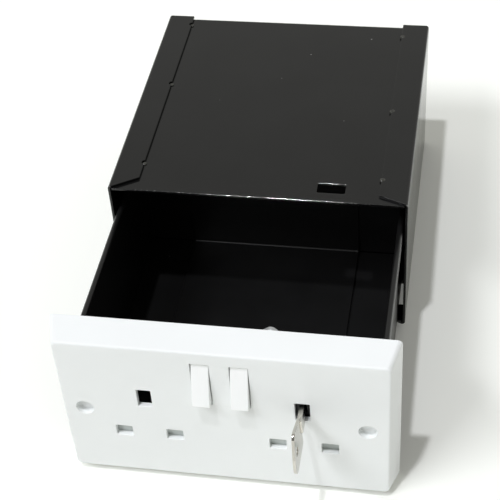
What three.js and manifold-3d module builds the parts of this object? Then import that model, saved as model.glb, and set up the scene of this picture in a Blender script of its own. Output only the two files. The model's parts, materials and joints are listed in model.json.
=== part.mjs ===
// An imitation two-gang wall socket that fronts a small steel safe.
// A moulded faceplate is screwed to a steel drawer, which slides in a steel sleeve.
// The lock sits behind the right earth hole, and its cam catches in a slot in the sleeve's top.
//
// Millimetres. X runs to the right, Y from the front to the back, Z up.
// While it is built, Y = 0 is the faceplate's front and Z = 0 its bottom edge.
// The drawer is shown pulled out, with the key in the lock.

import * as THREE from 'three';
import { mergeVertices } from 'three/addons/utils/BufferGeometryUtils.js';
import Module from 'manifold-3d';

// Driving dimensions: sheet steel

const sheet = 1.2;
const seam = 0.1; // paint and fit between two sheets, or a sheet and what is fixed to it
const bendRadius = 0.4; // inside a bend
const bendSteps = 6;
const past = 1; // how far a cutting tool runs beyond what it cuts

// Driving dimensions: faceplate

const plateWidth = 146;
const plateHeight = 86;
const plateDepth = 13.1;
const plateDraft = 3.6; // how far each side leans in towards the front
const plateWall = 2.5;
const plateCorner = 2.2;
const plateEdge = 0.8; // round between the face and the sides
const plateRoot = 0.5; // how deep what stands behind the face is rooted in it
const plateRib = { thickness: 1.5, setback: 2 };

const socketPitch = 66.8;
const pinSpacing = 22.2;
const pinSlot = { width: 7.3, height: 6.2, z: 30, corner: 0.5 };
const earthHole = { width: 6.2, height: 10.3, z: 52.1, corner: 0.4 };

const fixingCentres = 120.6;
const fixingCup = { radius: 3.9, depth: 3, wall: 1.8 };

const rockerPitch = 16.2;
const rockerDrop = 22; // below the plate's top edge
const rocker = { width: 7.4, height: 22, front: 5.4, back: 2, wall: 1.2, skin: 2, edge: 0.5 };
const rockerGap = { side: 0.3, end: 0.22, corner: 0.4 }; // between the rocker and its aperture
const rockerTilt = THREE.MathUtils.degToRad(14.2); // each way from upright
const trunnion = { radius: 1, length: 1.5, clearance: 0.15, web: 0.6 };

// Driving dimensions: sleeve

const sleeveWidth = 137.2;
const sleeveHeight = 76.4;
const sleeveLength = 140.8;
const sleeveZ = 7.9;
const flapWidth = 13.3;
const flapMitre = { left: 7.5, right: 5, start: 1.4 };
const flapRearCorner = 0.9; // ground round after welding
const flapWeldRadius = 1.3;
const flapWelds = { left: [18.6, 80.8, 133.4], right: [16, 67, 130] }; // behind the sleeve's front
const latchSlot = { width: 12.8, length: 6.3, corner: 0.8, lead: 1.2 };
const floorSlot = { width: 7.6, length: 16.6, front: 10.9, corner: 1.5 };

// Driving dimensions: drawer

const drawerPull = 83.34; // how far the drawer stands out here
const closedGap = 0.34; // left between the plate and the sleeve when it is shut
const drawerSideGap = 1; // between its rim and the sleeve's side
const drawerHeight = 58.1;
const drawerLength = 127.6; // over the sheets, from front to rear
const drawerFloorGap = 0.3;
const hem = { height: 7, gap: 0.2 };
const stripWidth = 84;
const stripLap = 12;
const stripBend = 1.4; // inside its two bends
const frontLap = 13.6;
const frontLipHeight = 14;
const rearWallDrop = 1.8; // rear wall below the rim
const frontPlateHeight = 70;
const frontPlateCorner = 2;

const plateScrew = { inset: 8, rise: 22, radius: 1.45, head: 3, headHeight: 1.8, length: 10 };
const plateScrewClearance = 0.3;
const plateBoss = { radius: 3.5, clearance: 0.1 };
const retainerScrew = { x: 20.5, radius: 1.1, head: 2.4, headHeight: 1.5, length: 5.6 };

// Driving dimensions: lock and key

const lockSetback = 3.3; // lock face behind the faceplate's front
const lockLength = 17.3;
const lockBarrel = 8;
const lockCollar = { radius: 10, thickness: 1.9 };
const lockNeck = { radius: 7.8, flats: 14 };
const lockNutSize = { flats: 20, thickness: 3.2, clearance: 0.15 };
const plug = { radius: 5.5, head: 6.5, headHeight: 1, tail: 6 };
const plugClearance = 0.3;
const turnClearance = 0.3; // between pieces that are fixed to each other in the turned lock
const cam = { width: 9, thickness: 2, hub: 7.5, corner: 2.6, swingClearance: 0.15 };
const camTilt = THREE.MathUtils.degToRad(37.3); // left of upright when unlocked
const keyTilt = THREE.MathUtils.degToRad(4); // blade left of upright when unlocked
const camWasherSize = { radius: 5.2, thickness: 0.8 };
const camScrewSize = { radius: 1.1, head: 3.2, headHeight: 1.6, length: 3.4 };
const keyBlade = { thickness: 2, height: 7.5, shoulder: 6.8, tip: 17.5, tipTaper: 2.2 };
const keyGroove = { depth: 0.45, height: 1.7, offset: 0.8, start: 1.8 };
const keyBow = { length: 18.1, crest: 12.8, top: 9.4, bottom: 10.8, nose: 3.6, lead: 1.4 };
const keyBowSheet = { thickness: 1.3, corner: 2.8, lowerCorner: 4.2 };
const keyRingHole = { radius: 2.1, forward: 11.9, drop: 2 };
const keyCuts = [0.6, 1.1, 0.4, 0.9, 0.7];
const keyCut = { pitch: 2.4, first: 1.2, rootHalf: 0.3, slopeWidth: 1, slopeHeight: 1.2 };

// Places worked out from them

const plateMiddleZ = plateHeight / 2;
const innerFaceY = plateWall;
const rockerZ = plateHeight - rockerDrop;
const rockerReach = rocker.front * Math.sin(rockerTilt) + (rocker.height / 2) * Math.cos(rockerTilt);
const lockX = socketPitch / 2;
const lockZ = earthHole.z;

const panelTopZ = sleeveZ + sleeveHeight - sheet - seam;
const panelBottomZ = sleeveZ + sheet + seam;
const wallInnerX = sleeveWidth / 2 - sheet;
const sleeveFrontY = plateDepth + drawerPull;
const sleeveRearY = sleeveFrontY + sleeveLength;
const wrapHalf = wallInnerX - bendRadius - seam;
const drawerTravelIn = drawerPull - closedGap;

const drawerZ = panelBottomZ + sheet + drawerFloorGap;
const rimZ = drawerZ + drawerHeight;
const frontPlateY = plateDepth + seam;
const flangeFrontY = frontPlateY + sheet + seam;
const drawerRearY = flangeFrontY + drawerLength;
const stripZ = drawerZ + sheet + seam;
const stripRearY = drawerRearY - sheet - seam;
const rimOuterX = wallInnerX - drawerSideGap;
const drawerOuterX = rimOuterX - sheet - hem.gap;
const drawerWallX = drawerOuterX - sheet;
const bendOuter = bendRadius + sheet;

const camFrontY = lockSetback + lockLength + seam;
const camRearY = camFrontY + cam.thickness;
const panelUndersideZ = panelTopZ - sheet;
const camReach = Math.hypot(latchSlot.width / 2, panelUndersideZ - lockZ) - cam.swingClearance;
const keyEndY = -keyBlade.shoulder - keyBow.length;

// Solids: three.js makes the shapes, and the kernel only joins and cuts them

const wasm = await Module();
wasm.setup();

function solidOf(geometry) {
  const bare = new THREE.BufferGeometry();
  bare.setAttribute('position', geometry.getAttribute('position'));
  bare.setIndex(geometry.getIndex());
  const merged = mergeVertices(bare, 1e-4);
  const corners = merged.getIndex().array;
  const triangles = [];
  for (let i = 0; i < corners.length; i += 3) {
    const [a, b, c] = corners.slice(i, i + 3);
    if (a !== b && b !== c && c !== a) {
      triangles.push(a, b, c);
    }
  }
  return new wasm.Manifold(new wasm.Mesh({
    numProp: 3,
    vertProperties: new Float32Array(merged.getAttribute('position').array),
    triVerts: new Uint32Array(triangles),
  }));
}

function geometryOf(solid) {
  const { vertProperties, triVerts } = solid.getMesh();
  const geometry = new THREE.BufferGeometry();
  geometry.setAttribute('position', new THREE.BufferAttribute(vertProperties, 3));
  geometry.setIndex(new THREE.BufferAttribute(triVerts, 1));
  return geometry;
}

function joined(first, ...others) {
  return others.reduce((solid, other) => solid.add(other), first);
}

function cut(first, ...tools) {
  return tools.reduce((solid, tool) => solid.subtract(tool), first);
}

// A flat shape drawn across an axis and drawn out along it.
// Across x it is drawn in (y, z), across y in (x, z), across z in (x, y).
function extruded(shape, axis, from, to, curveSegments = bendSteps) {
  const geometry = new THREE.ExtrudeGeometry(shape, {
    depth: to - from,
    bevelEnabled: false,
    curveSegments,
  });
  const x = new THREE.Vector3(1, 0, 0);
  const y = new THREE.Vector3(0, 1, 0);
  const z = new THREE.Vector3(0, 0, 1);
  const place = new THREE.Matrix4();
  if (axis === 'x') {
    place.makeBasis(y, z, x).setPosition(from, 0, 0);
  } else if (axis === 'y') {
    place.makeBasis(x, z, y.negate()).setPosition(0, to, 0);
  } else {
    place.makeTranslation(0, 0, from);
  }
  return solidOf(geometry.applyMatrix4(place));
}

function block([x0, x1], [y0, y1], [z0, z1]) {
  const geometry = new THREE.BoxGeometry(x1 - x0, y1 - y0, z1 - z0);
  geometry.translate((x0 + x1) / 2, (y0 + y1) / 2, (z0 + z1) / 2);
  return solidOf(geometry);
}

// A round solid on a line along Y through (x, z), from its outline in [radius, y].
function turned(outline, x = 0, z = 0, steps = 32) {
  const points = outline.map(([radius, y]) => new THREE.Vector2(radius, y));
  const geometry = new THREE.LatheGeometry(points, steps);
  geometry.translate(x, 0, z);
  return solidOf(geometry);
}

function rod(radius, from, to, x = 0, z = 0, steps = 32) {
  return turned([[0, from], [radius, from], [radius, to], [0, to]], x, z, steps);
}

function roundedRectangle(width, height, radius, x = 0, y = 0) {
  const left = x - width / 2;
  const right = x + width / 2;
  const low = y - height / 2;
  const high = y + height / 2;
  const quarter = Math.PI / 2;
  const shape = new THREE.Shape();
  shape.moveTo(left + radius, low);
  shape.lineTo(right - radius, low);
  shape.absarc(right - radius, low + radius, radius, -quarter, 0);
  shape.lineTo(right, high - radius);
  shape.absarc(right - radius, high - radius, radius, 0, quarter);
  shape.lineTo(left + radius, high);
  shape.absarc(left + radius, high - radius, radius, quarter, 2 * quarter);
  shape.lineTo(left, low + radius);
  shape.absarc(left + radius, low + radius, radius, 2 * quarter, 3 * quarter);
  return shape;
}

// A closed outline whose corners are [u, v, how far from the corner its rounding starts].
function roundedPolygon(corners) {
  const points = corners.map(([u, v]) => new THREE.Vector2(u, v));
  const shape = new THREE.Shape();
  corners.forEach(([, , start = 0], i) => {
    const point = points[i];
    const towards = (other) => other.clone().sub(point).setLength(start).add(point);
    const before = towards(points.at(i - 1));
    const after = towards(points[(i + 1) % points.length]);
    if (i === 0) {
      shape.moveTo(before.x, before.y);
    } else {
      shape.lineTo(before.x, before.y);
    }
    if (start > 0) {
      shape.quadraticCurveTo(point.x, point.y, after.x, after.y);
    }
  });
  return shape;
}

// The edge view of a bent sheet. The corners lie on one of its faces, and hand says on which
// side of that line the sheet is: 1 on the left, -1 on the right. A corner may carry the
// radius inside its bend.
function bentSheet(corners, hand) {
  const points = corners.map(([u, v]) => new THREE.Vector2(u, v));
  const headings = points.slice(1).map((point, i) => point.clone().sub(points[i]).normalize());
  const leftOf = (heading) => new THREE.Vector2(-heading.y, heading.x);
  const near = [];
  const far = [];

  function addPair(nearPoint, farPoint) {
    const last = near.at(-1);
    if (!last || last.distanceTo(nearPoint) > 1e-6) {
      near.push(nearPoint);
      far.push(farPoint);
    }
  }

  function addEnd(point, heading) {
    addPair(point, point.clone().addScaledVector(leftOf(heading), hand * sheet));
  }

  function addBend(point, before, after, insideRadius) {
    const turn = Math.sign(before.cross(after));
    const angle = Math.acos(before.dot(after));
    const outside = turn === hand;
    const nearRadius = outside ? insideRadius + sheet : insideRadius;
    const farRadius = outside ? insideRadius : insideRadius + sheet;
    const toCentre = leftOf(before).multiplyScalar(turn);
    const centre = point.clone()
      .addScaledVector(before, -nearRadius * Math.tan(angle / 2))
      .addScaledVector(toCentre, nearRadius);
    for (let step = 0; step <= bendSteps; step += 1) {
      const spoke = toCentre.clone().negate();
      spoke.rotateAround(new THREE.Vector2(), (turn * angle * step) / bendSteps);
      addPair(
        centre.clone().addScaledVector(spoke, nearRadius),
        centre.clone().addScaledVector(spoke, farRadius),
      );
    }
  }

  addEnd(points[0], headings[0]);
  for (let i = 1; i < points.length - 1; i += 1) {
    addBend(points[i], headings[i - 1], headings[i], corners[i][2] ?? bendRadius);
  }
  addEnd(points.at(-1), headings.at(-1));
  return new THREE.Shape([...near, ...far.reverse()]);
}

// A solid through rounded rectangles that lie across Y and share one centre.
function lofted(rings, centreZ) {
  const arcSteps = 4;
  const outlines = rings.map(({ y, halfWidth, halfHeight, radius }) => {
    const outline = [];
    for (let corner = 0; corner < 4; corner += 1) {
      const sideX = corner === 0 || corner === 3 ? 1 : -1;
      const sideZ = corner < 2 ? 1 : -1;
      for (let step = 0; step <= arcSteps; step += 1) {
        const angle = (Math.PI / 2) * (corner + step / arcSteps);
        const x = sideX * (halfWidth - radius) + radius * Math.cos(angle);
        const z = centreZ + sideZ * (halfHeight - radius) + radius * Math.sin(angle);
        outline.push([x, y, z]);
      }
    }
    return outline;
  });
  const count = outlines[0].length;
  const triangles = [];
  for (let ring = 0; ring < rings.length - 1; ring += 1) {
    for (let i = 0; i < count; i += 1) {
      const a = ring * count + i;
      const b = ring * count + ((i + 1) % count);
      triangles.push(a, a + count, b, b, a + count, b + count);
    }
  }
  const lastRing = (rings.length - 1) * count;
  for (let i = 1; i < count - 1; i += 1) {
    triangles.push(0, i, i + 1);
    triangles.push(lastRing, lastRing + i + 1, lastRing + i);
  }
  const geometry = new THREE.BufferGeometry();
  geometry.setAttribute('position', new THREE.Float32BufferAttribute(outlines.flat(2), 3));
  geometry.setIndex(triangles);
  return solidOf(geometry);
}

// Places that repeat

const sides = [-1, 1];
const pinSlotPlaces = sides.flatMap((socket) => sides.map((pin) => (
  (socket * socketPitch + pin * pinSpacing) / 2
)));
const plateScrewPlaces = sides.flatMap((x) => sides.map((z) => (
  { x: x * (drawerOuterX - plateScrew.inset), z: plateMiddleZ + z * plateScrew.rise }
)));

// Faceplate

// How far the outline is inside the back outline at a depth behind the face.
function plateInset(y) {
  const lean = plateDraft * (1 - y / plateDepth);
  const rise = Math.max(0, plateEdge - y);
  return lean + plateEdge - Math.sqrt(plateEdge ** 2 - rise ** 2);
}

function plateRing(y, extraInset, at = y) {
  const inset = plateInset(at) + extraInset;
  return {
    y,
    halfWidth: plateWidth / 2 - inset,
    halfHeight: plateHeight / 2 - inset,
    radius: Math.max(plateCorner - extraInset, 0.5),
  };
}

function faceplate() {
  const roundSteps = 4;
  const rings = [];
  for (let step = 0; step < roundSteps; step += 1) {
    const angle = (Math.PI / 2) * (step / roundSteps);
    rings.push(plateRing(plateEdge * (1 - Math.cos(angle)), 0));
  }
  rings.push(plateRing(plateEdge, 0), plateRing(plateDepth, 0));
  const shell = lofted(rings, plateMiddleZ);
  const hollow = lofted([
    plateRing(plateWall, plateWall),
    plateRing(plateDepth + past, plateWall, plateDepth),
  ], plateMiddleZ);

  const boss = (radius, to, x, z) => rod(radius, innerFaceY - plateRoot, to, x, z, 20);
  const bosses = plateScrewPlaces.map(({ x, z }) => boss(plateBoss.radius, plateDepth, x, z));
  const ribs = plateScrewPlaces.map(({ x, z }) => {
    const wallX = Math.sign(x) * (plateWidth / 2 - plateDraft - plateRoot);
    const ribHalf = plateRib.thickness / 2;
    return block(
      [Math.min(x, wallX), Math.max(x, wallX)],
      [innerFaceY - plateRoot, plateDepth - plateRib.setback],
      [z - ribHalf, z + ribHalf],
    );
  });
  const retainerBosses = sides.map((side) => (
    boss(retainerBossRadius, retainerY - seam, side * retainerScrew.x, rockerZ)
  ));
  const cups = sides.map((side) => (
    boss(
      fixingCup.radius + fixingCup.wall,
      fixingCup.depth + fixingCup.wall,
      (side * fixingCentres) / 2,
      plateMiddleZ,
    )
  ));
  const stakes = shutterStakePlaces.map((x) => turned([
    [0, innerFaceY - plateRoot],
    [shutterStake.radius, innerFaceY - plateRoot],
    [shutterStake.radius, shutterRearY + seam],
    [shutterStake.head, shutterRearY + seam],
    [shutterStake.radius, shutterRearY + seam + shutterStake.headHeight],
    [0, shutterRearY + seam + shutterStake.headHeight],
  ], x, pinSlot.z, 14));

  const through = (shape) => extruded(shape, 'y', -past, innerFaceY + past);
  const pinSlots = pinSlotPlaces.map((x) => through(
    roundedRectangle(pinSlot.width, pinSlot.height, pinSlot.corner, x, pinSlot.z),
  ));
  const earthHoles = sides.map((side) => through(
    roundedRectangle(earthHole.width, earthHole.height, earthHole.corner, side * lockX, lockZ),
  ));
  const rockerHoles = sides.map((side) => through(roundedRectangle(
    rocker.width + 2 * rockerGap.side,
    2 * (rockerReach + rockerGap.end),
    rockerGap.corner,
    (side * rockerPitch) / 2,
    rockerZ,
  )));
  const cupHoles = sides.map((side) => (
    rod(fixingCup.radius, -past, fixingCup.depth, (side * fixingCentres) / 2, plateMiddleZ, 36)
  ));
  const pilot = (radius, depth, to, x, z) => (
    rod(radius + plateBoss.clearance, to - depth, to + past, x, z, 14)
  );
  const screwPilots = plateScrewPlaces.map(({ x, z }) => (
    pilot(plateScrew.radius, plateScrew.length, plateDepth, x, z)
  ));
  const retainerPilots = sides.map((side) => pilot(
    retainerScrew.radius,
    retainerScrew.length - retainerPlate.thickness,
    retainerY - seam,
    side * retainerScrew.x,
    rockerZ,
  ));

  return cut(
    joined(cut(shell, hollow), ...bosses, ...ribs, ...retainerBosses, ...cups, ...stakes),
    ...pinSlots,
    ...earthHoles,
    ...rockerHoles,
    ...cupHoles,
    ...screwPilots,
    ...retainerPilots,
  );
}

// Backs of the live and neutral slots: one moulding for each socket, with a ramp at each slot

const shutter = { width: 33, height: 9.6, thickness: 2.6, rampDepth: 1.6 };
const shutterFrontY = innerFaceY + seam;
const shutterRearY = shutterFrontY + shutter.thickness;
const shutterStake = { spacing: 9, radius: 1.1, head: 1.7, headHeight: 0.7 };
const shutterStakePlaces = sides.flatMap((socket) => sides.map((stake) => (
  (socket * socketPitch + stake * shutterStake.spacing) / 2
)));

function socketShutter(side) {
  const middleX = (side * socketPitch) / 2;
  const body = extruded(
    roundedRectangle(shutter.width, shutter.height, 1, middleX, pinSlot.z),
    'y',
    shutterFrontY,
    shutterRearY,
  );
  const rampHalf = pinSlot.height / 2 + 0.3;
  const ramp = new THREE.Shape([
    new THREE.Vector2(shutterFrontY - 1, pinSlot.z + rampHalf),
    new THREE.Vector2(shutterFrontY - 1, pinSlot.z - rampHalf),
    new THREE.Vector2(shutterFrontY, pinSlot.z - rampHalf),
    new THREE.Vector2(shutterFrontY + shutter.rampDepth, pinSlot.z + rampHalf),
  ]);
  const rampWidth = pinSlot.width + 0.6;
  const ramps = sides.map((pin) => {
    const x = middleX + (pin * pinSpacing) / 2;
    return extruded(ramp, 'x', x - rampWidth / 2, x + rampWidth / 2);
  });
  const stakeHoles = sides.map((stake) => rod(
    shutterStake.radius + seam,
    shutterFrontY - 1,
    shutterRearY + 1,
    middleX + (stake * shutterStake.spacing) / 2,
    pinSlot.z,
    14,
  ));
  return cut(body, ...ramps, ...stakeHoles);
}

// Rocker and the retainer that holds its pins against the back of the faceplate

const pivotY = innerFaceY + seam + trunnion.radius;
const retainerBossRadius = 3.2;
const retainerPlate = { width: 48, height: 10, thickness: 2 };
const retainerY = pivotY + rocker.back + 1.8;
const retainerPost = { height: 7, thickness: 3 };

// One rocker about its own pivot, face towards -Y.
function rockerBody() {
  const outline = roundedRectangle(
    rocker.front + rocker.back,
    rocker.height,
    rocker.edge,
    (rocker.back - rocker.front) / 2,
  );
  const body = extruded(outline, 'x', -rocker.width / 2, rocker.width / 2);
  const pocketHalf = rocker.width / 2 - rocker.wall;
  const pocketEnd = rocker.height / 2 - rocker.wall;
  const webHalf = trunnion.radius + trunnion.web;
  const pockets = sides.map((side) => block(
    [-pocketHalf, pocketHalf],
    [rocker.skin - rocker.front, rocker.back + past],
    side > 0 ? [webHalf, pocketEnd] : [-pocketEnd, -webHalf],
  ));
  const pinCircle = new THREE.Shape();
  pinCircle.absarc(0, 0, trunnion.radius, 0, 2 * Math.PI);
  const pinHalf = rocker.width / 2 + trunnion.length;
  const pins = extruded(pinCircle, 'x', -pinHalf, pinHalf);
  return joined(cut(body, ...pockets), pins);
}

function rockerRetainer() {
  const plateFront = retainerY;
  const plateRear = retainerY + retainerPlate.thickness;
  const back = extruded(
    roundedRectangle(retainerPlate.width, retainerPlate.height, 1.5, 0, rockerZ),
    'y',
    plateFront,
    plateRear,
  );
  const postFrontY = innerFaceY + seam;
  const post = (x0, x1) => block(
    [x0, x1],
    [postFrontY, plateFront + 0.5],
    [rockerZ - retainerPost.height / 2, rockerZ + retainerPost.height / 2],
  );
  const rockerSide = rockerPitch / 2 - rocker.width / 2 - 0.5;
  const outerSide = rockerPitch / 2 + rocker.width / 2 + 0.5;
  const posts = [
    post(-rockerSide, rockerSide),
    post(outerSide, outerSide + retainerPost.thickness),
    post(-outerSide - retainerPost.thickness, -outerSide),
  ];
  const cradleRadius = trunnion.radius + trunnion.clearance;
  const cradle = new THREE.Shape();
  cradle.moveTo(postFrontY - 1, rockerZ - cradleRadius);
  cradle.lineTo(pivotY, rockerZ - cradleRadius);
  cradle.absarc(pivotY, rockerZ, cradleRadius, -Math.PI / 2, Math.PI / 2);
  cradle.lineTo(postFrontY - 1, rockerZ + cradleRadius);
  const cradles = extruded(cradle, 'x', -outerSide - 5, outerSide + 5);
  const screwHoles = sides.map((side) => rod(
    retainerScrew.radius + 0.4,
    plateFront - 1,
    plateRear + 1,
    side * retainerScrew.x,
    rockerZ,
    20,
  ));
  return cut(joined(back, ...posts), cradles, ...screwHoles);
}

// A pan-head screw that points towards -Y, with its seat at y = 0 and a cross recess.
function panScrew({ radius, head, headHeight, length }) {
  const body = turned([
    [0, -length],
    [radius * 0.5, -length],
    [radius, -length + radius],
    [radius, 0],
    [head, 0],
    [head, headHeight * 0.45],
    [head * 0.8, headHeight * 0.85],
    [head * 0.45, headHeight],
    [0, headHeight],
  ], 0, 0, 20);
  const armHalf = head * 0.55;
  const slotHalf = head * 0.12;
  const floor = headHeight * 0.45;
  return cut(
    body,
    block([-armHalf, armHalf], [floor, headHeight + 1], [-slotHalf, slotHalf]),
    block([-slotHalf, slotHalf], [floor, headHeight + 1], [-armHalf, armHalf]),
  );
}

// Sleeve

function caseWrap() {
  const strip = extruded(bentSheet([
    [sleeveFrontY, panelTopZ],
    [sleeveRearY, panelTopZ],
    [sleeveRearY, panelBottomZ],
    [sleeveFrontY, panelBottomZ],
  ], -1), 'x', -wrapHalf, wrapHalf);
  const slotFrontY = camFrontY + drawerTravelIn - latchSlot.lead;
  const slot = extruded(
    roundedRectangle(
      latchSlot.width,
      latchSlot.length,
      latchSlot.corner,
      lockX,
      slotFrontY + latchSlot.length / 2,
    ),
    'z',
    panelUndersideZ - past,
    panelTopZ + past,
  );
  const floorSlots = sides.map((side) => floorSlotTool(side, floorSlot.width + 2 * past, past));
  return cut(strip, slot, ...floorSlots);
}

// The fixing slots go through the wrap's bottom, where they run out at its edge, and the
// side panel's lower flange.
function floorSlotTool(side, width, outset) {
  const edgeX = wrapHalf - seam;
  const middleX = side * (edgeX - floorSlot.width / 2 + outset);
  const middleY = sleeveFrontY + floorSlot.front + floorSlot.length / 2;
  return extruded(
    roundedRectangle(width, floorSlot.length, floorSlot.corner, middleX, middleY),
    'z',
    sleeveZ - past,
    panelBottomZ + sheet + past,
  );
}

function caseSide(side) {
  const name = side > 0 ? 'right' : 'left';
  const wallX = side * (sleeveWidth / 2);
  const flapX = side * (sleeveWidth / 2 - flapWidth);
  const topZ = sleeveZ + sleeveHeight;
  const channel = extruded(bentSheet([
    [flapX, sleeveZ],
    [wallX, sleeveZ],
    [wallX, topZ],
    [flapX, topZ],
  ], side), 'y', sleeveFrontY, sleeveRearY);
  const planLength = sleeveLength + flapMitre[name];
  const plan = extruded(
    roundedRectangle(sleeveWidth, planLength, flapRearCorner, 0, sleeveRearY - planLength / 2),
    'z',
    sleeveZ - past,
    topZ + past,
  );
  const mitreStartX = wallX - side * flapMitre.start;
  const mitreEndX = flapX - side * past;
  const mitreSlope = flapMitre[name] / (flapWidth - flapMitre.start);
  const mitre = new THREE.Shape([
    new THREE.Vector2(mitreStartX, sleeveFrontY),
    new THREE.Vector2(mitreEndX, sleeveFrontY + flapMitre[name] + mitreSlope * past),
    new THREE.Vector2(mitreEndX, sleeveFrontY - past),
    new THREE.Vector2(mitreStartX, sleeveFrontY - past),
  ]);
  const mitres = [
    extruded(mitre, 'z', topZ - sheet - seam, topZ + past),
    extruded(mitre, 'z', sleeveZ - past, sleeveZ + sheet + seam),
  ];
  const weldNotches = flapWelds[name].map((y) => {
    const circle = new THREE.Shape();
    circle.absarc(flapX, sleeveFrontY + y, flapWeldRadius, 0, 2 * Math.PI);
    return extruded(circle, 'z', topZ - sheet - seam, topZ + past);
  });
  return cut(
    channel.intersect(plan),
    ...mitres,
    ...weldNotches,
    floorSlotTool(side, floorSlot.width, 0),
  );
}

// Drawer

function drawerSide(side) {
  const lapX = stripWidth / 2 - stripLap;
  const wall = extruded(bentSheet([
    [side * lapX, drawerZ + sheet],
    [side * drawerWallX, drawerZ + sheet],
    [side * drawerWallX, rimZ, hem.gap / 2],
    [side * rimOuterX, rimZ, hem.gap / 2],
    [side * rimOuterX, rimZ - hem.height],
  ], -side), 'y', flangeFrontY + bendOuter, drawerRearY - bendOuter);
  const band = extruded(bentSheet([
    [side * (drawerOuterX - frontLap), flangeFrontY],
    [side * drawerOuterX, flangeFrontY],
    [side * drawerOuterX, drawerRearY],
    [side * lapX, drawerRearY],
  ], side), 'z', drawerZ + bendOuter, rimZ - rearWallDrop);
  const screwHoles = plateScrewPlaces
    .filter(({ x }) => Math.sign(x) === side)
    .map((place) => plateScrewHole(place));
  return cut(joined(wall, band), ...screwHoles);
}

function plateScrewHole({ x, z }) {
  const radius = plateScrew.radius + plateScrewClearance;
  return rod(radius, frontPlateY - past, flangeFrontY + sheet + past, x, z, 20);
}

function drawerCentreStrip() {
  return extruded(bentSheet([
    [flangeFrontY, stripZ + frontLipHeight],
    [flangeFrontY, stripZ, stripBend],
    [stripRearY, stripZ, stripBend],
    [stripRearY, rimZ - rearWallDrop],
  ], 1), 'x', -stripWidth / 2, stripWidth / 2);
}

function drawerFrontPlate() {
  const plate = extruded(
    roundedRectangle(
      2 * rimOuterX,
      frontPlateHeight,
      frontPlateCorner,
      0,
      drawerZ + frontPlateHeight / 2,
    ),
    'y',
    frontPlateY,
    frontPlateY + sheet,
  );
  const holeRadius = lockNeck.radius + lockNutSize.clearance;
  const flatDistance = lockNeck.flats / 2 + seam;
  const neckHole = cut(
    rod(holeRadius, frontPlateY - 1, frontPlateY + sheet + 1, lockX, lockZ, 40),
    ...sides.map((side) => flatTool(side, flatDistance, frontPlateY - 2, flangeFrontY + 2)),
  );
  return cut(plate, neckHole, ...plateScrewPlaces.map(plateScrewHole));
}

// What lies beyond one flat of the lock's neck.
function flatTool(side, distance, fromY, toY) {
  const reach = lockNeck.radius + 2;
  const edges = [lockX + side * distance, lockX + side * (distance + reach)];
  return block(
    [Math.min(...edges), Math.max(...edges)],
    [fromY, toY],
    [lockZ - reach, lockZ + reach],
  );
}

// Lock

function lockHousing() {
  const bore = plug.radius + plugClearance;
  const headBore = plug.head + plugClearance;
  const collarY = plateDepth - lockCollar.thickness;
  const headY = lockSetback + seam + plug.headHeight + seam;
  const rearY = lockSetback + lockLength;
  const body = turned([
    [headBore, lockSetback],
    [lockBarrel, lockSetback],
    [lockBarrel, collarY],
    [lockCollar.radius, collarY],
    [lockCollar.radius, plateDepth],
    [lockNeck.radius, plateDepth],
    [lockNeck.radius, rearY],
    [bore, rearY],
    [bore, headY],
    [headBore, headY],
    [headBore, lockSetback],
  ], lockX, lockZ, 48);
  const flats = sides.map((side) => flatTool(side, lockNeck.flats / 2, plateDepth, rearY + 1));
  return cut(body, ...flats);
}

function lockNut() {
  const corners = [];
  const cornerRadius = lockNutSize.flats / 2 / Math.cos(Math.PI / 6);
  for (let corner = 0; corner < 6; corner += 1) {
    const angle = (Math.PI / 3) * corner;
    corners.push(new THREE.Vector2(
      lockX + cornerRadius * Math.cos(angle),
      lockZ + cornerRadius * Math.sin(angle),
    ));
  }
  const frontY = frontPlateY + sheet + seam;
  const rearY = frontY + lockNutSize.thickness;
  return cut(
    extruded(new THREE.Shape(corners), 'y', frontY, rearY),
    rod(lockNeck.radius + lockNutSize.clearance, frontY - 1, rearY + 1, lockX, lockZ, 48),
  );
}

// The pieces below turn together and are drawn about the lock's axis, blade upright.

const plugFrontY = lockSetback + seam;
const plugRearY = camFrontY - seam;
const tailRearY = camRearY - seam;
const keywayEndY = keyBlade.tip + 0.5;

function lockPlug() {
  const body = turned([
    [0, plugFrontY],
    [plug.head, plugFrontY],
    [plug.head, plugFrontY + plug.headHeight],
    [plug.radius, plugFrontY + plug.headHeight],
    [plug.radius, plugRearY],
    [0, plugRearY],
  ], 0, 0, 40);
  const tailHalf = plug.tail / 2;
  const tail = block([-tailHalf, tailHalf], [plugRearY - 1, tailRearY], [-tailHalf, tailHalf]);
  const keywayHalf = keyBlade.thickness / 2 + turnClearance;
  const keywayReach = keyBlade.height / 2 + turnClearance;
  const keyway = block(
    [-keywayHalf, keywayHalf],
    [plugFrontY - 1, keywayEndY],
    [-keywayReach, keywayReach],
  );
  const screwHole = rod(
    camScrewSize.radius + turnClearance,
    camRearY - camScrewSize.length,
    tailRearY + 1,
    0,
    0,
    20,
  );
  return cut(joined(body, tail), keyway, screwHole);
}

function lockCam() {
  const arm = extruded(
    roundedRectangle(cam.width, camReach, cam.corner, 0, camReach / 2),
    'y',
    camFrontY,
    camRearY,
  );
  const swing = rod(camReach, camFrontY - past, camRearY + past, 0, 0, 128);
  const hub = rod(cam.hub, camFrontY, camRearY, 0, 0, 40);
  const upright = joined(arm.intersect(swing), hub);
  const turn = new THREE.Matrix4().makeRotationY(keyTilt - camTilt);
  const tilted = solidOf(geometryOf(upright).applyMatrix4(turn));
  const holeHalf = plug.tail / 2 + turnClearance;
  return cut(
    tilted,
    block([-holeHalf, holeHalf], [camFrontY - 1, camRearY + 1], [-holeHalf, holeHalf]),
  );
}

function camWasher() {
  const frontY = camRearY + seam;
  const rearY = frontY + camWasherSize.thickness;
  const hole = camScrewSize.radius + turnClearance;
  return turned([
    [hole, frontY],
    [camWasherSize.radius, frontY],
    [camWasherSize.radius, rearY],
    [hole, rearY],
    [hole, frontY],
  ]);
}

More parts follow.
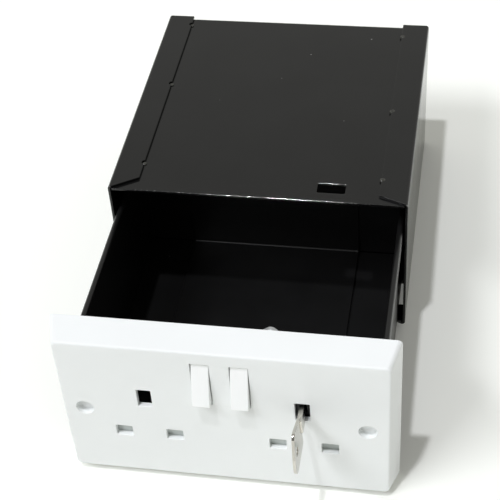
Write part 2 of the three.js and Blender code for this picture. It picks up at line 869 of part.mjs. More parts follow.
function key() {
  const half = keyBlade.thickness / 2;
  const halfHeight = keyBlade.height / 2;
  const shoulderY = -keyBlade.shoulder;
  const taperY = keyBlade.tip - keyBlade.tipTaper;
  const taperEnd = halfHeight - keyBlade.tipTaper;
  const blade = extruded(new THREE.Shape([
    new THREE.Vector2(shoulderY - past, -halfHeight),
    new THREE.Vector2(taperY, -halfHeight),
    new THREE.Vector2(keyBlade.tip, -taperEnd),
    new THREE.Vector2(keyBlade.tip, taperEnd),
    new THREE.Vector2(taperY, halfHeight),
    new THREE.Vector2(shoulderY - past, halfHeight),
  ]), 'x', -half, half);

  // The bow slants up from the blade's upper edge and has a square shoulder below it. It is
  // thinner than the blade and flush with its left face.
  const bowShape = roundedPolygon([
    [shoulderY + keyBow.lead, halfHeight],
    [shoulderY - keyBow.crest, keyBow.top, keyBowSheet.corner],
    [keyEndY, -keyBow.nose, keyBowSheet.corner],
    [keyEndY, -keyBow.bottom, keyBowSheet.lowerCorner],
    [shoulderY, -keyBow.bottom, keyBowSheet.corner],
    [shoulderY, -halfHeight],
  ]);
  const ringHole = new THREE.Path();
  const ringHoleY = shoulderY - keyRingHole.forward;
  ringHole.absarc(ringHoleY, -keyRingHole.drop, keyRingHole.radius, 0, 2 * Math.PI, true);
  bowShape.holes.push(ringHole);
  const bow = extruded(bowShape, 'x', -half, keyBowSheet.thickness - half, 24);

  const grooves = sides.map((side) => {
    const faces = [side * (half - keyGroove.depth), side * (half + past)];
    const middleZ = side * keyGroove.offset;
    return block(
      [Math.min(...faces), Math.max(...faces)],
      [shoulderY + keyGroove.start, keyBlade.tip + past],
      [middleZ - keyGroove.height / 2, middleZ + keyGroove.height / 2],
    );
  });
  const cuts = keyCuts.flatMap((depth, i) => sides.map((edge) => {
    const y = taperY - keyCut.first - i * keyCut.pitch;
    const level = halfHeight - depth;
    const outerHalf = keyCut.rootHalf + keyCut.slopeWidth;
    return extruded(new THREE.Shape([
      new THREE.Vector2(y - keyCut.rootHalf, edge * level),
      new THREE.Vector2(y + keyCut.rootHalf, edge * level),
      new THREE.Vector2(y + outerHalf, edge * (level + keyCut.slopeHeight)),
      new THREE.Vector2(y - outerHalf, edge * (level + keyCut.slopeHeight)),
    ]), 'x', -half - past, half + past);
  }));
  return cut(joined(blade, bow), ...grooves, ...cuts);
}

// Materials

function material(color, roughness, metalness) {
  return new THREE.MeshStandardMaterial({ color, roughness, metalness });
}

const blackEnamel = material(0x35363a, 0.35, 0.2);
const whitePlastic = material(0xeef0f2, 0.4, 0);
const shutterPlastic = material(0xdde0dd, 0.45, 0);
const nickel = material(0xb9bab8, 0.3, 1);
const zincSteel = material(0x9a9ea3, 0.35, 1);
const darkLock = material(0x2a2a2c, 0.5, 0.6);

// Assembly

function addPiece(parent, name, solid, finish) {
  const mesh = new THREE.Mesh(geometryOf(solid), finish);
  mesh.name = name;
  parent.add(mesh);
  return mesh;
}

const safe = new THREE.Group();
safe.position.y = -(sleeveRearY + keyEndY) / 2;

const sleeve = new THREE.Group();
safe.add(sleeve);
addPiece(sleeve, 'case_wrap', caseWrap(), blackEnamel);
addPiece(sleeve, 'case_side_left', caseSide(-1), blackEnamel);
addPiece(sleeve, 'case_side_right', caseSide(1), blackEnamel);

const drawer = new THREE.Group();
safe.add(drawer);
addPiece(drawer, 'faceplate', faceplate(), whitePlastic);
addPiece(drawer, 'drawer_front_plate', drawerFrontPlate(), blackEnamel);
addPiece(drawer, 'drawer_centre_strip', drawerCentreStrip(), blackEnamel);
addPiece(drawer, 'drawer_side_left', drawerSide(-1), blackEnamel);
addPiece(drawer, 'drawer_side_right', drawerSide(1), blackEnamel);
addPiece(drawer, 'socket_shutter_left', socketShutter(-1), shutterPlastic);
addPiece(drawer, 'socket_shutter_right', socketShutter(1), shutterPlastic);
addPiece(drawer, 'rocker_retainer', rockerRetainer(), shutterPlastic);
addPiece(drawer, 'lock_housing', lockHousing(), darkLock);
addPiece(drawer, 'lock_nut', lockNut(), zincSteel);

plateScrewPlaces.forEach(({ x, z }, i) => {
  const screw = addPiece(drawer, `faceplate_screw_${i + 1}`, panScrew(plateScrew), zincSteel);
  screw.position.set(x, flangeFrontY + sheet + seam, z);
});
sides.forEach((side, i) => {
  const screw = addPiece(drawer, `retainer_screw_${i + 1}`, panScrew(retainerScrew), zincSteel);
  screw.position.set(side * retainerScrew.x, retainerY + retainerPlate.thickness + seam, rockerZ);
});
sides.forEach((side) => {
  const name = side > 0 ? 'rocker_right' : 'rocker_left';
  const piece = addPiece(drawer, name, rockerBody(), whitePlastic);
  piece.position.set((side * rockerPitch) / 2, pivotY, rockerZ);
  piece.rotation.x = -rockerTilt;
});

const lock = new THREE.Group();
lock.position.set(lockX, 0, lockZ);
lock.rotation.y = -keyTilt;
drawer.add(lock);
addPiece(lock, 'lock_plug', lockPlug(), nickel);
addPiece(lock, 'lock_cam', lockCam(), zincSteel);
addPiece(lock, 'cam_washer', camWasher(), zincSteel);
const camScrew = addPiece(lock, 'cam_screw', panScrew(camScrewSize), zincSteel);
camScrew.position.y = camRearY + seam + camWasherSize.thickness + seam;
addPiece(lock, 'key', key(), nickel);

export default safe;
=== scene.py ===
# %% [markdown]
# # A safe behind an imitation socket
# A white moulded plate that looks like a two-gang socket fronts a black steel drawer, and
# the drawer slides in a steel sleeve that is built into a wall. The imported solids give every
# size and place. This lesson rounds their edges, adds what solids leave out, such as welds
# and wear, gives each piece its finish, and then sets the floor, the light and the camera.

# %% Load the frame and keep its box
import json
import math

import bpy
from mathutils import Matrix, Vector


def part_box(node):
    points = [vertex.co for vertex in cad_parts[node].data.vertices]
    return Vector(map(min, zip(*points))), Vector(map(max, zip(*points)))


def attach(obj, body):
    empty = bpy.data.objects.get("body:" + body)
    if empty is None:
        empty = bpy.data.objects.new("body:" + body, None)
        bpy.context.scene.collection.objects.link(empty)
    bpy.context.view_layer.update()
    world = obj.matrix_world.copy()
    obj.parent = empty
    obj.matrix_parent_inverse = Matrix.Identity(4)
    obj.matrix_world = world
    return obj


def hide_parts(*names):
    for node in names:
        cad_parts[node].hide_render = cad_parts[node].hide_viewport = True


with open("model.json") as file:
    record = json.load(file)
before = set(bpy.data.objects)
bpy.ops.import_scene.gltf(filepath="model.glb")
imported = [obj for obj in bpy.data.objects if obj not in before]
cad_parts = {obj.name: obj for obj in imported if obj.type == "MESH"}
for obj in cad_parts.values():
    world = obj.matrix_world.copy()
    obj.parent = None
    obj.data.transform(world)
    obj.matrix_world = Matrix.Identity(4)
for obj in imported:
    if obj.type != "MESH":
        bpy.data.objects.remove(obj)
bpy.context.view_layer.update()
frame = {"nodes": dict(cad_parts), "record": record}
nodes = frame["nodes"]
mm = 0.001

# %% [markdown]
# ## Which body carries which piece
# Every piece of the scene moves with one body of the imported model. The record lists the
# pieces of each body, so turning that list round tells where a piece belongs.

# %% Look up the body of a node
body_of_node = {
    node: body
    for body, members in frame["record"]["behaviour"]["bodies"].items()
    for node in members
}

# %% [markdown]
# ## Selecting and working in edit mode
# An operator acts on everything that is selected, and the load leaves the solids selected.
# So each piece is selected by itself before any operator runs. The helpers below do that,
# and open and close edit mode around a few steps.

# %% Helpers for selection and edit mode
def select_only(*pieces):
    bpy.ops.object.select_all(action="DESELECT")
    for piece in pieces:
        piece.select_set(True)
    bpy.context.view_layer.objects.active = pieces[0]


def start_editing(piece, mode="VERT"):
    select_only(piece)
    bpy.ops.object.mode_set(mode="EDIT")
    bpy.ops.mesh.select_mode(type=mode)


def stop_editing():
    bpy.ops.object.mode_set(mode="OBJECT")


# %% [markdown]
# ## Building materials from nodes
# A finish is a small net of nodes. Short helpers keep the nets readable: they add a node
# with its settings, start a reusable group with named sockets, give the place on the
# object, spread a value over a new range, and multiply two values.

# %% Helpers for nodes and groups
def add_node(tree, kind, **settings):
    node = tree.nodes.new(kind)
    for name, value in settings.items():
        setattr(node, name, value)
    return node


def start_group(name, inputs, outputs):
    group = bpy.data.node_groups.new(name, "ShaderNodeTree")
    for label, value in inputs.items():
        socket = group.interface.new_socket(label, in_out="INPUT", socket_type="NodeSocketFloat")
        socket.default_value = value
    for label in outputs:
        group.interface.new_socket(label, in_out="OUTPUT", socket_type="NodeSocketFloat")
    return group, add_node(group, "NodeGroupInput"), add_node(group, "NodeGroupOutput")


def object_place(tree, stretch=(1, 1, 1)):
    place = add_node(tree, "ShaderNodeTexCoord")
    mapping = add_node(tree, "ShaderNodeMapping")
    mapping.inputs["Scale"].default_value = stretch
    tree.links.new(place.outputs["Object"], mapping.inputs["Vector"])
    return mapping.outputs["Vector"]


def mapped(tree, value, low, high, to_low=0.0, to_high=1.0, curve="LINEAR"):
    ranged = add_node(tree, "ShaderNodeMapRange", clamp=True, interpolation_type=curve)
    ranged.inputs["From Min"].default_value = low
    ranged.inputs["From Max"].default_value = high
    ranged.inputs["To Min"].default_value = to_low
    ranged.inputs["To Max"].default_value = to_high
    tree.links.new(value, ranged.inputs["Value"])
    return ranged.outputs["Result"]


def multiplied(tree, first, second):
    product = add_node(tree, "ShaderNodeMath", operation="MULTIPLY")
    tree.links.new(first, product.inputs[0])
    tree.links.new(second, product.inputs[1])
    return product.outputs["Value"]


# %% [markdown]
# ## Grain of a surface
# Stoved enamel dries with a fine orange peel, and moulded plastic copies the polish of its
# tool. Both are small soft hills. One noise gives their height, and a broader one gives a
# slow change of tone and gloss. The group is built once and each finish sets its own scales.

# %% Group: surface grain
fine_detail = 3.0
broad_detail = 5.0
tone_range = (0.2, 0.8)


def surface_grain_group():
    group, given, made = start_group(
        "surface_grain", {"Fine Scale": 900.0, "Broad Scale": 40.0}, ["Height", "Tone"]
    )
    place = object_place(group)
    fine = add_node(group, "ShaderNodeTexNoise")
    fine.inputs["Detail"].default_value = fine_detail
    broad = add_node(group, "ShaderNodeTexNoise")
    broad.inputs["Detail"].default_value = broad_detail
    for noise, scale in ((fine, "Fine Scale"), (broad, "Broad Scale")):
        group.links.new(place, noise.inputs["Vector"])
        group.links.new(given.outputs[scale], noise.inputs["Scale"])
    group.links.new(fine.outputs["Fac"], made.inputs["Height"])
    tone = mapped(group, broad.outputs["Fac"], *tone_range, curve="SMOOTHSTEP")
    group.links.new(tone, made.inputs["Tone"])
    return group


surface_grain = surface_grain_group()
print("group:", surface_grain.name)

# %% [markdown]
# ## Wear on edges
# Paint goes first where hands and other parts rub: on the outer edges, in broken patches.
# Each piece carries a number, edge, that is 1 along the middle of a rounded edge that gets
# rubbed. The group keeps it only where a patchy noise is high, so the bare line comes and
# goes.

# %% Group: worn edge
patch_detail = 6.0
patch_roughness = 0.65
patch_border = 0.06
crest_range = (0.05, 0.45)


def worn_edge_group():
    group, given, made = start_group(
        "worn_edge", {"Edge": 0.0, "Patch Scale": 120.0, "Cover": 0.5}, ["Bare"]
    )
    patches = add_node(group, "ShaderNodeTexNoise")
    patches.inputs["Detail"].default_value = patch_detail
    patches.inputs["Roughness"].default_value = patch_roughness
    group.links.new(object_place(group), patches.inputs["Vector"])
    group.links.new(given.outputs["Patch Scale"], patches.inputs["Scale"])
    above = add_node(group, "ShaderNodeMath", operation="SUBTRACT")
    group.links.new(patches.outputs["Fac"], above.inputs[0])
    group.links.new(given.outputs["Cover"], above.inputs[1])
    broken = mapped(group, above.outputs["Value"], 0.0, patch_border)
    crest = mapped(group, given.outputs["Edge"], *crest_range)
    group.links.new(multiplied(group, broken, crest), made.inputs["Bare"])
    return group


worn_edge = worn_edge_group()
print("group:", worn_edge.name)

# %% [markdown]
# ## Handling marks
# Fine hairlines and a few specks lie on any surface that has been handled. A noise drawn
# out along one direction gives hairlines, and a small cell pattern gives specks. Only the
# top of the noise and the middle of each cell show.

# %% Group: handling marks
line_stretch = (14, 1, 5)
line_detail = 4.0
line_range = (0.66, 0.72)
speck_range = (0.030, 0.018)


def handling_marks_group():
    group, given, made = start_group(
        "handling_marks", {"Line Scale": 60.0, "Speck Scale": 260.0}, ["Lines", "Specks"]
    )
    lines = add_node(group, "ShaderNodeTexNoise")
    lines.inputs["Detail"].default_value = line_detail
    group.links.new(object_place(group, line_stretch), lines.inputs["Vector"])
    group.links.new(given.outputs["Line Scale"], lines.inputs["Scale"])
    group.links.new(mapped(group, lines.outputs["Fac"], *line_range), made.inputs["Lines"])
    cells = add_node(group, "ShaderNodeTexVoronoi")
    cells.inputs["Randomness"].default_value = 1.0
    group.links.new(object_place(group), cells.inputs["Vector"])
    group.links.new(given.outputs["Speck Scale"], cells.inputs["Scale"])
    specks = mapped(group, cells.outputs["Distance"], *speck_range)
    group.links.new(specks, made.inputs["Specks"])
    return group


handling_marks = handling_marks_group()
print("group:", handling_marks.name)

# %% [markdown]
# ## Putting a finish together
# Each finish below starts in the same way: a Principled shader with its plain numbers set
# on its own sockets, and the grain wired to roughness and bump. What differs is added after.
# A finish's gloss is the two numbers that its roughness varies between. Denoising treats a
# surface smoother than 0.274 as a mirror and a rougher one as matt, so a finish that
# crossed that number would show a faint coastline. Each finish stays on one side of it.

# %% Helpers: start a finish
def place_group(tree, group, **values):
    node = add_node(tree, "ShaderNodeGroup", node_tree=group)
    for label, value in values.items():
        node.inputs[label.replace("_", " ")].default_value = value
    return node


def start_finish(name, gloss, fine_scale, broad_scale, bump_depth):
    material = bpy.data.materials.new(name)
    material.use_nodes = True
    tree = material.node_tree
    shader = tree.nodes["Principled BSDF"]
    grain = place_group(tree, surface_grain, Fine_Scale=fine_scale, Broad_Scale=broad_scale)
    roughness = mapped(tree, grain.outputs["Tone"], 0.0, 1.0, *gloss)
    tree.links.new(roughness, shader.inputs["Roughness"])
    bump = add_node(tree, "ShaderNodeBump")
    bump.inputs["Distance"].default_value = bump_depth
    bump.inputs["Strength"].default_value = 1.0
    tree.links.new(grain.outputs["Height"], bump.inputs["Height"])
    tree.links.new(bump.outputs["Normal"], shader.inputs["Normal"])
    return material, tree, shader, grain


def blended_colour(tree, factor, first, second):
    mix = add_node(tree, "ShaderNodeMix", data_type="RGBA")
    tree.links.new(factor, mix.inputs["Factor"])
    for socket, colour in ((mix.inputs["A"], first), (mix.inputs["B"], second)):
        if isinstance(colour, bpy.types.NodeSocket):
            tree.links.new(colour, socket)
        else:
            socket.default_value = (*colour, 1.0)
    return mix.outputs["Result"]


# %% [markdown]
# ## Black enamel
# The sleeve and the drawer are stove-enamelled black. The film is nearly black by itself,
# and looks dark grey where it mirrors the light studio. It is glossy on the sleeve and
# satin on the drawer, and it wears to bare steel along the middle of the sleeve's front
# edge, where the plate has knocked it. A lower cover leaves more of an edge bare.

# %% Finish: black enamel
glossy = (0.10, 0.16)
satin = (0.285, 0.33)
glossy_tones = (0.004, 0.006)
satin_tones = (0.006, 0.009)
enamel_peel = 0.006 * mm
enamel_shine = 0.44
dust = (0.16, 0.16, 0.155)
bare_steel = (0.55, 0.55, 0.54)
rubbed_cover = 0.43
rubbed_stretch = [place * mm for place in (-36, -16, 34, 50)]


def black_enamel_finish(name, cover, gloss=glossy, tones=glossy_tones, rubbed=None):
    material, tree, shader, grain = start_finish(
        name, gloss, fine_scale=1100.0, broad_scale=35.0, bump_depth=enamel_peel
    )
    edge = add_node(tree, "ShaderNodeAttribute", attribute_name="edge")
    wear = place_group(tree, worn_edge, Patch_Scale=900.0, Cover=cover)
    tree.links.new(edge.outputs["Fac"], wear.inputs["Edge"])
    if rubbed:
        place_parts = add_node(tree, "ShaderNodeSeparateXYZ")
        tree.links.new(object_place(tree), place_parts.inputs["Vector"])
        start, full_from, full_to, stop = rubbed
        rise = mapped(tree, place_parts.outputs["X"], start, full_from)
        fall = mapped(tree, place_parts.outputs["X"], stop, full_to)
        rub = multiplied(tree, rise, fall)
        tree.links.new(mapped(tree, rub, 0.0, 1.0, cover, rubbed_cover), wear.inputs["Cover"])
    marks = place_group(tree, handling_marks, Line_Scale=50.0, Speck_Scale=60.0)
    deep, pale = [(tone, tone, tone) for tone in tones]
    film = blended_colour(tree, grain.outputs["Tone"], deep, pale)
    dusty = blended_colour(tree, marks.outputs["Specks"], film, dust)
    worn = blended_colour(tree, wear.outputs["Bare"], dusty, bare_steel)
    tree.links.new(worn, shader.inputs["Base Color"])
    tree.links.new(wear.outputs["Bare"], shader.inputs["Metallic"])
    shader.inputs["Specular IOR Level"].default_value = enamel_shine
    return material


black_enamel = black_enamel_finish("black_enamel", cover=0.50)
satin_enamel = black_enamel_finish("satin_enamel", cover=0.66, gloss=satin, tones=satin_tones)
rubbed_enamel = black_enamel_finish("rubbed_enamel", cover=0.60, rubbed=rubbed_stretch)
print("finishes:", black_enamel.name, satin_enamel.name, rubbed_enamel.name)

# %% [markdown]
# ## Moulded white plastic
# The plate, its rockers and its inner mouldings are urea or a like plastic: white, hard
# and softly glossy, with the slow cloudiness that moulding leaves. The rockers are the
# whitest and glossiest. The mouldings behind the plate are duller, and their colour is a
# darker grey-green than their own white, a painted shade for the shade in the slots.

# %% Finish: white plastics
moulded_hills = 0.006 * mm


def moulded_finish(name, light, dark, gloss):
    material, tree, shader, grain = start_finish(
        name, gloss, fine_scale=700.0, broad_scale=22.0, bump_depth=moulded_hills
    )
    colour = blended_colour(tree, grain.outputs["Tone"], dark, light)
    tree.links.new(colour, shader.inputs["Base Color"])
    return material


white_plastic = moulded_finish(
    "white_plastic", light=(0.88, 0.90, 0.895), dark=(0.85, 0.87, 0.865), gloss=(0.285, 0.36)
)
rocker_plastic = moulded_finish(
    "rocker_plastic", light=(0.955, 0.965, 0.96), dark=(0.935, 0.945, 0.94), gloss=(0.20, 0.265)
)
# Painted shade: this grey-green is darker than the white these mouldings really are.
inner_plastic = moulded_finish(
    "inner_plastic", light=(0.66, 0.70, 0.68), dark=(0.62, 0.66, 0.64), gloss=(0.38, 0.48)
)
print("finishes:", white_plastic.name, rocker_plastic.name, inner_plastic.name)

# %% [markdown]
# ## Metals
# The key is nickel-plated, the cam, its screw and the other screws are bright zinc, and
# the lock's body is blackened; its plug is given the same black, a painted shade for the
# dark inside the keyhole. Metal is a colour of reflection, so each one is a metallic
# shader whose gloss the grain breaks up. The key's blade is painted dark as far as it goes
# into the lock, a painted shade for the keyhole's dark, and fades to nickel over a few
# millimetres in front of the plate.

# %% Finish: metals
metal_hills = 0.008 * mm
# Painted shade: the dark that the key's blade is given inside the keyhole.
hole_shade_colour = (0.05, 0.05, 0.05)
hole_shade_fade = 4.5 * mm
lock_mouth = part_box("faceplate")[0].y


def metal_finish(name, light, dark, gloss, hole_shade_from=None):
    material, tree, shader, grain = start_finish(
        name, gloss, fine_scale=1500.0, broad_scale=90.0, bump_depth=metal_hills
    )
    marks = place_group(tree, handling_marks, Line_Scale=160.0, Speck_Scale=500.0)
    toned = blended_colour(tree, grain.outputs["Tone"], dark, light)
    marked = blended_colour(tree, marks.outputs["Lines"], toned, dark)
    # Painted shade: the blade darkens towards the plate's face and stays dark inside the keyhole.
    if hole_shade_from is not None:
        place_parts = add_node(tree, "ShaderNodeSeparateXYZ")
        tree.links.new(object_place(tree), place_parts.inputs["Vector"])
        hole_shaded = mapped(
            tree, place_parts.outputs["Y"], hole_shade_from, hole_shade_from + hole_shade_fade
        )
        marked = blended_colour(tree, hole_shaded, marked, hole_shade_colour)
    tree.links.new(marked, shader.inputs["Base Color"])
    shader.inputs["Metallic"].default_value = 1.0
    return material


nickel = metal_finish(
    "nickel",
    light=(0.68, 0.66, 0.61),
    dark=(0.54, 0.52, 0.48),
    gloss=(0.14, 0.24),
    hole_shade_from=lock_mouth - hole_shade_fade,
)
zinc_steel = metal_finish(
    "zinc_steel", light=(0.70, 0.72, 0.74), dark=(0.55, 0.57, 0.60), gloss=(0.285, 0.40)
)
lock_black = metal_finish(
    "lock_black", light=(0.06, 0.06, 0.06), dark=(0.035, 0.035, 0.035), gloss=(0.4, 0.55)
)
print("finishes:", len(bpy.data.materials))

# %% [markdown]
# ## Which edges rub
# The plate knocks the sleeve's top front edge and its two front corners, and the lock's cam
# rubs the rear edge of the latch slot. A point of those pieces is tested by its place.

# %% Helper: is this place one that rubs
wrap_low, wrap_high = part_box("case_wrap")
panel_low, panel_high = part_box("case_side_right")
front_edge = wrap_low.y + 0.6 * mm
top_band = 1.6 * mm
corner_reach = 1.6 * mm
slot_rear_from = wrap_low.y + 12.1 * mm
slot_rear_to = wrap_low.y + 12.9 * mm


def is_rubbed(node, place):
    if node == "case_wrap":
        at_top = place.z > wrap_high.z - top_band
        return at_top and (place.y < front_edge or slot_rear_from < place.y < slot_rear_to)
    if node in ("case_side_left", "case_side_right"):
        corner = Vector((math.copysign(panel_high.x, place.x), panel_low.y, panel_high.z))
        return (place - corner).length < corner_reach
    return False


print("latch slot's rear edge in mm:", round(slot_rear_from / mm, 2), round(slot_rear_to / mm, 2))

# %% [markdown]
# ## Rounding the edges of a solid
# No real edge is sharp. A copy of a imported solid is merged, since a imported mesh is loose
# triangles. Its flat triangles are dissolved and the flat faces are cut into even triangles
# again, which keeps a face with holes in it flat. Then its sharp edges are bevelled. The
# bevel leaves its new faces selected, so the points that lie only in those faces are the
# crest of the edge. Those that rub get the number that the wear reads.

# %% Helpers: a softened copy
sharp_edge = math.radians(31)
flat_limit = math.radians(0.5)
merge_distance = 0.002 * mm
bevel_steps = 2


def softened_copy(node, width):
    piece = bpy.data.objects.new(f"finished_{node}", nodes[node].data.copy())
    bpy.context.scene.collection.objects.link(piece)
    piece.data.materials.clear()
    start_editing(piece)
    bpy.ops.mesh.select_all(action="SELECT")
    bpy.ops.mesh.customdata_custom_splitnormals_clear()
    bpy.ops.mesh.remove_doubles(threshold=merge_distance)
    bpy.ops.mesh.dissolve_limited(angle_limit=flat_limit)
    bpy.ops.mesh.quads_convert_to_tris(quad_method="BEAUTY", ngon_method="BEAUTY")
    bpy.ops.mesh.select_mode(type="EDGE")
    bpy.ops.mesh.select_all(action="DESELECT")
    bpy.ops.mesh.edges_select_sharp(sharpness=sharp_edge)
    bpy.ops.mesh.bevel(
        offset=width, segments=bevel_steps, affect="EDGES", clamp_overlap=False, loop_slide=False
    )
    stop_editing()
    mark_crests(piece, node)
    return piece


def mark_crests(piece, node):
    mesh = piece.data
    on_crest = [True] * len(mesh.vertices)
    for face in mesh.polygons:
        if not face.select:
            for corner in face.vertices:
                on_crest[corner] = False
    edge = mesh.attributes.new("edge", "FLOAT", "POINT")
    for vertex, crest in enumerate(on_crest):
        rubbed = crest and is_rubbed(node, mesh.vertices[vertex].co)
        edge.data[vertex].value = 1.0 if rubbed else 0.0


# %% [markdown]
# ## Smooth shading that keeps flats flat
# Smooth shading bends light round a bevel, but it also clouds the flat faces beside it.
# Weighted normals give the larger face the say, so flats stay flat and only the bevel turns.

# %% Helpers: finish the shading and hand the piece over
smooth_limit = math.radians(50)
face_weight = 100


def shade_softly(piece):
    select_only(piece)
    bpy.ops.object.shade_smooth_by_angle(angle=smooth_limit)
    bpy.ops.object.modifier_add(type="WEIGHTED_NORMAL")
    piece.modifiers[-1].keep_sharp = True
    piece.modifiers[-1].weight = face_weight
    bpy.ops.object.modifier_apply(modifier=piece.modifiers[-1].name)


def hand_over(piece, node, material):
    piece.data.materials.append(material)
    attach(piece, body_of_node[node])
    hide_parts(node)


# %% [markdown]
# ## The pieces whose shape the solids already hold
# Each row below names a piece, how wide its edges are rounded in millimetres, and what it is
# finished in. Folded sheet has a deburred edge of about a fifth of a millimetre, and a
# moulding a little more. The hem of the drawer's side walls leaves room for less.

# %% Finish the solids
finish_rows = [
    ("case_wrap", 0.26, rubbed_enamel, "black_enamel"),
    ("case_side_left", 0.18, black_enamel, "black_enamel"),
    ("case_side_right", 0.18, black_enamel, "black_enamel"),
    ("drawer_front_plate", 0.2, satin_enamel, "black_enamel"),
    ("drawer_centre_strip", 0.2, satin_enamel, "black_enamel"),
    ("drawer_side_left", 0.08, satin_enamel, "black_enamel"),
    ("drawer_side_right", 0.08, satin_enamel, "black_enamel"),
    ("faceplate", 0.25, white_plastic, "white_plastic"),
    ("rocker_left", 0.3, rocker_plastic, "rocker_plastic"),
    ("rocker_right", 0.3, rocker_plastic, "rocker_plastic"),
    ("rocker_retainer", 0.2, inner_plastic, "inner_plastic"),
    ("socket_shutter_left", 0.15, inner_plastic, "inner_plastic"),
    ("socket_shutter_right", 0.15, inner_plastic, "inner_plastic"),
    ("lock_housing", 0.15, lock_black, "lock_black"),
    ("lock_nut", 0.2, zinc_steel, "zinc_steel"),
    # The plug takes the lock's black, a painted shade for the dark seen inside the keyhole.
    ("lock_plug", 0.1, lock_black, "lock_black"),
    ("lock_cam", 0.15, zinc_steel, "zinc_steel"),
    ("cam_washer", 0.08, zinc_steel, "zinc_steel"),
    ("key", 0.2, nickel, "nickel"),
]
screw_names = sorted(name for name in nodes if "screw" in name)
finish_rows += [(name, 0.06, zinc_steel, "zinc_steel") for name in screw_names]
for node, width, material, slot in finish_rows:
    piece = softened_copy(node, width * mm)
    shade_softly(piece)
    hand_over(piece, node, material)
    print(piece.name, len(piece.data.polygons), "faces")

# %% [markdown]
# ## The welds' finish
# Enamel takes badly on a weld, so it is lumpier and greyer there than on the flat sheet.

# %% Finish: weld
weld_gloss = (0.12, 0.26)
weld_lumps = 0.2 * mm
weld_dark = (0.004, 0.004, 0.004)
weld_grey = (0.06, 0.06, 0.05)


def weld_finish():
    material, tree, shader, grain = start_finish(
        "weld_enamel", weld_gloss, fine_scale=1400.0, broad_scale=900.0, bump_depth=weld_lumps
    )
    colour = blended_colour(tree, grain.outputs["Tone"], weld_dark, weld_grey)
    tree.links.new(colour, shader.inputs["Base Color"])
    return material


weld_enamel = weld_finish()
print("finish:", weld_enamel.name)

# %% [markdown]
# ## The shape of a weld
# A weld is a low puddle: a disc, raised and drawn in three times, with its points shaken a
# little. Each draw is a pair, how far in and how far up, in millimetres. A solid is
# selected before the disc is added, so that no finished piece is.

# %% Helper: model one weld
weld_corners = 20
weld_foot = 0.5 * mm
weld_draws = ((0.2, 0.2), (0.3, 0.16), (0.35, 0.04))
weld_shake = 0.1 * mm


def weld_puddle(name, place, radius, seed):
    select_only(nodes["key"])
    bpy.ops.mesh.primitive_circle_add(
        vertices=weld_corners, radius=radius, fill_type="NGON", location=place
    )
    piece = bpy.context.active_object
    piece.name = name
    bpy.ops.object.transform_apply(location=True)
    start_editing(piece, "FACE")
    bpy.ops.mesh.select_all(action="SELECT")
    bpy.ops.mesh.extrude_region_move(TRANSFORM_OT_translate={"value": (0, 0, weld_foot)})
    for draw_in, rise in weld_draws:
        bpy.ops.mesh.inset(thickness=draw_in * mm, depth=rise * mm)
    bpy.ops.mesh.select_all(action="SELECT")
    bpy.ops.transform.vertex_random(offset=weld_shake, seed=seed)
    bpy.ops.mesh.normals_make_consistent(inside=False)
    stop_editing()
    shade_softly(piece)
    return piece


# %% [markdown]
# ## Where the welds are
# The flaps are welded to the panel in small bites along their inner edges. The right-hand
# ones are wider and have run up onto the flap. The distances are behind the sleeve's front.

# %% Place the welds
weld_radius = {"case_side_left": 1.15 * mm, "case_side_right": 1.45 * mm}
weld_rows = {"case_side_left": (18.6, 80.8, 133.4), "case_side_right": (16.0, 67.0, 130.0)}
weld_below_flap = {"case_side_left": 1.45 * mm, "case_side_right": 0.75 * mm}
weld_onto_flap = {"case_side_left": 0.0, "case_side_right": 0.7 * mm}
for node, distances in weld_rows.items():
    side_low, side_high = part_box(node)
    inner_x = side_high.x if node.endswith("left") else side_low.x
    side = node.removeprefix("case_side_")
    for number, behind in enumerate(distances, start=1):
        place = (
            inner_x + weld_onto_flap[node],
            side_low.y + behind * mm,
            side_high.z - weld_below_flap[node],
        )
        piece = weld_puddle(f"weld_{side}_{number}", place, weld_radius[node], number)
        piece.data.materials.append(weld_enamel)
        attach(piece, body_of_node[node])
print("welds:", sum(len(row) for row in weld_rows.values()))

# %% [markdown]
# ## The floor
# The safe lies on a pale floor. With its drawer out it rests on the bottom edge of the
# plate and on the rear of the sleeve, so the floor is a plane through those two lines. In
# the frame of the solids that plane leans a little.

# %% Lay the floor
plate_low, plate_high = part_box("faceplate")
sleeve_low, sleeve_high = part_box("case_side_left")
rest_front = Vector((0, plate_high.y, plate_low.z))
rest_rear = Vector((0, sleeve_high.y, sleeve_low.z))
floor_slope = math.atan2(rest_rear.z - rest_front.z, rest_rear.y - rest_front.y)
floor_gap = 0.05 * mm
floor_side = 6
select_only(nodes["key"])
bpy.ops.mesh.primitive_plane_add(
    size=floor_side, location=rest_front - Vector((0, 0, floor_gap))
)
floor = bpy.context.active_object
floor.name = "studio_floor"
floor.rotation_euler = (floor_slope, 0, 0)
print("floor leans", round(math.degrees(floor_slope), 2), "degrees")

# %% [markdown]
# ## The floor's white
# The floor is plain white paper: a rough white with almost no gloss of its own. A little
# glow, for the camera alone, keeps the paper from greying near the safe.

# %% Finish: floor
paper = (0.965, 0.975, 0.925, 1.0)
paper_roughness = 0.9
paper_shine = 0.1
glow_colour = (1.0, 1.0, 1.0, 1.0)
floor_glow = 0.05
floor_white = bpy.data.materials.new("floor_white")
floor_white.use_nodes = True
floor_tree = floor_white.node_tree
floor_shader = floor_tree.nodes["Principled BSDF"]
floor_shader.inputs["Base Color"].default_value = paper
floor_shader.inputs["Roughness"].default_value = paper_roughness
floor_shader.inputs["Specular IOR Level"].default_value = paper_shine
floor_shader.inputs["Emission Color"].default_value = glow_colour
floor_ray = add_node(floor_tree, "ShaderNodeLightPath")
floor_tree.links.new(
    mapped(floor_tree, floor_ray.outputs["Is Camera Ray"], 0.0, 1.0, 0.0, floor_glow),
    floor_shader.inputs["Emission Strength"],
)
floor.data.materials.append(floor_white)
print("finish:", floor_white.name)

# %% [markdown]
# ## The room
# The room is a warm white and lights everything from all round. It is dimmer behind the
# camera, where the metal mirrors it, and the camera itself sees it at full white.

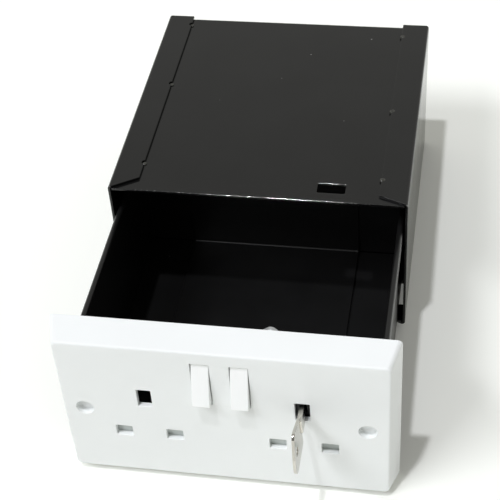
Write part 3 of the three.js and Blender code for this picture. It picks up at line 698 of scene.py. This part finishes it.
# %% Set the world
room_colour = (1.0, 1.0, 0.95, 1.0)
room_light = 0.40
room_falloff = 0.5
room_seen = 1.0
world = bpy.data.worlds.new("white_room")
world.use_nodes = True
bpy.context.scene.world = world
room = world.node_tree
background = room.nodes["Background"]
background.inputs["Color"].default_value = room_colour
heading = add_node(room, "ShaderNodeTexCoord")
heading_parts = add_node(room, "ShaderNodeSeparateXYZ")
room.links.new(heading.outputs["Generated"], heading_parts.inputs["Vector"])
around = mapped(
    room,
    heading_parts.outputs["Y"],
    -1.0,
    1.0,
    room_light * (1 - room_falloff),
    room_light * (1 + room_falloff),
)
ray = add_node(room, "ShaderNodeLightPath")
seen = add_node(room, "ShaderNodeMix", data_type="FLOAT")
room.links.new(ray.outputs["Is Camera Ray"], seen.inputs["Factor"])
room.links.new(around, seen.inputs["A"])
seen.inputs["B"].default_value = room_seen
room.links.new(seen.outputs["Result"], background.inputs["Strength"])
print("room:", world.name, "light", room_light)

# %% [markdown]
# ## The lamps
# Two shadows lie on the floor. A small lamp nearly overhead makes the dark one with the
# crisp edge, and a wide lower one from the front left makes the long pale one. Both are far
# off, so their light is even, and a little cooler than the room's.

# %% Set the lamps
lamp_colour = (0.98, 0.99, 1.04)
sun_direction = Vector((-0.146, -0.26, 1.0)).normalized()
sun_power = 1.06
sun_spread = math.radians(2.4)
wide_direction = Vector((-0.60, -0.56, 1.0)).normalized()
wide_power = 162.0
wide_distance = 6.0
wide_length = 2.6
wide_height = 0.63


def aimed_lamp(name, kind, power, direction):
    data = bpy.data.lights.new(name, kind)
    data.energy = power
    data.color = lamp_colour
    lamp = bpy.data.objects.new(name, data)
    bpy.context.scene.collection.objects.link(lamp)
    lamp.rotation_euler = direction.to_track_quat("Z", "Y").to_euler()
    return lamp


sun = aimed_lamp("overhead_lamp", "SUN", sun_power, sun_direction)
sun.data.angle = sun_spread
wide = aimed_lamp("wide_lamp", "AREA", wide_power, wide_direction)
wide.data.shape = "RECTANGLE"
wide.data.size = wide_length
wide.data.size_y = wide_height
wide.location = wide_direction * wide_distance
print("lamps:", sun.name, wide.name)

# %% [markdown]
# ## Camera
# The picture looks down from in front, a little from the right. The place and the angles
# were found by matching the plate's corners, its holes and the sleeve's corners, whose
# real places are known. The place is measured from the bottom edge of the plate's front.

# %% Set the camera
camera_from_plate = Vector((94.27, -349.80, 475.4)) * mm
camera_pitch = -0.7495
camera_yaw = 0.2175
camera_roll = -0.08117
camera_data = bpy.data.cameras.new("camera")
camera_data.sensor_width = 36
camera_data.lens = 96.19
camera = bpy.data.objects.new("camera", camera_data)
bpy.context.scene.collection.objects.link(camera)
camera.matrix_world = (
    Matrix.Translation(Vector((0, plate_low.y, 0)) + camera_from_plate)
    @ Matrix.Rotation(camera_yaw, 4, "Z")
    @ Matrix.Rotation(camera_pitch + math.pi / 2, 4, "X")
    @ Matrix.Rotation(camera_roll, 4, "Z")
)
bpy.context.scene.camera = camera
bpy.context.scene.view_settings.view_transform = "Standard"
print("camera:", camera.name, "lens", round(camera_data.lens, 2))
